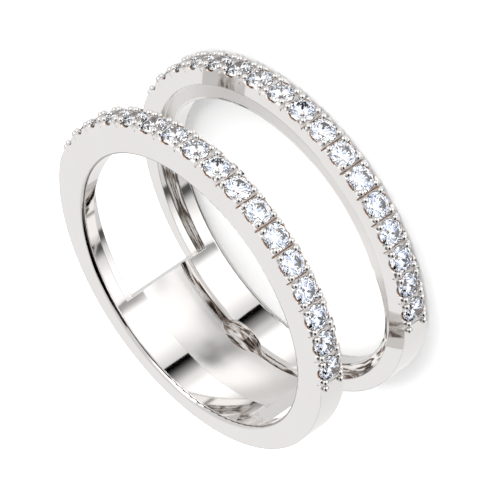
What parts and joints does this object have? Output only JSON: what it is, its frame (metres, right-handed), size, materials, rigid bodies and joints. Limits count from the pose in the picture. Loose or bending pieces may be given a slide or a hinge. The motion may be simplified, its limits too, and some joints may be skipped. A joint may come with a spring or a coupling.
{
  "type": "diamond ring guard",
  "caption": "Ring guard of two slim diamond-set bands side by side, joined by a curved plate at the base, with an open slot between them for another ring.",
  "frame": {"origin": "middle of the finger hole, half way along the finger axis", "axes": "+Z along the finger axis, up when the ring lies on its side; +Y from the axis toward the middle stones; the joining plate is at -Y"},
  "size_m": [0.021, 0.0202, 0.0078],
  "materials": {
    "white_gold": "polished",
    "diamond": "faceted and polished"
  },
  "bodies": {
    "root": {"band_frame": "white_gold", "stone_front_01": "diamond", "stone_front_02": "diamond", "stone_front_03": "diamond", "stone_front_04": "diamond", "stone_front_05": "diamond", "stone_front_06": "diamond", "stone_front_07": "diamond", "stone_front_08": "diamond", "stone_front_09": "diamond", "stone_front_10": "diamond", "stone_front_11": "diamond", "stone_front_12": "diamond", "stone_front_13": "diamond", "stone_front_14": "diamond", "stone_front_15": "diamond", "stone_front_16": "diamond", "stone_front_17": "diamond", "stone_rear_01": "diamond", "stone_rear_02": "diamond", "stone_rear_03": "diamond", "stone_rear_04": "diamond", "stone_rear_05": "diamond", "stone_rear_06": "diamond", "stone_rear_07": "diamond", "stone_rear_08": "diamond", "stone_rear_09": "diamond", "stone_rear_10": "diamond", "stone_rear_11": "diamond", "stone_rear_12": "diamond", "stone_rear_13": "diamond", "stone_rear_14": "diamond", "stone_rear_15": "diamond", "stone_rear_16": "diamond", "stone_rear_17": "diamond"}
  },
  "joints": []
}
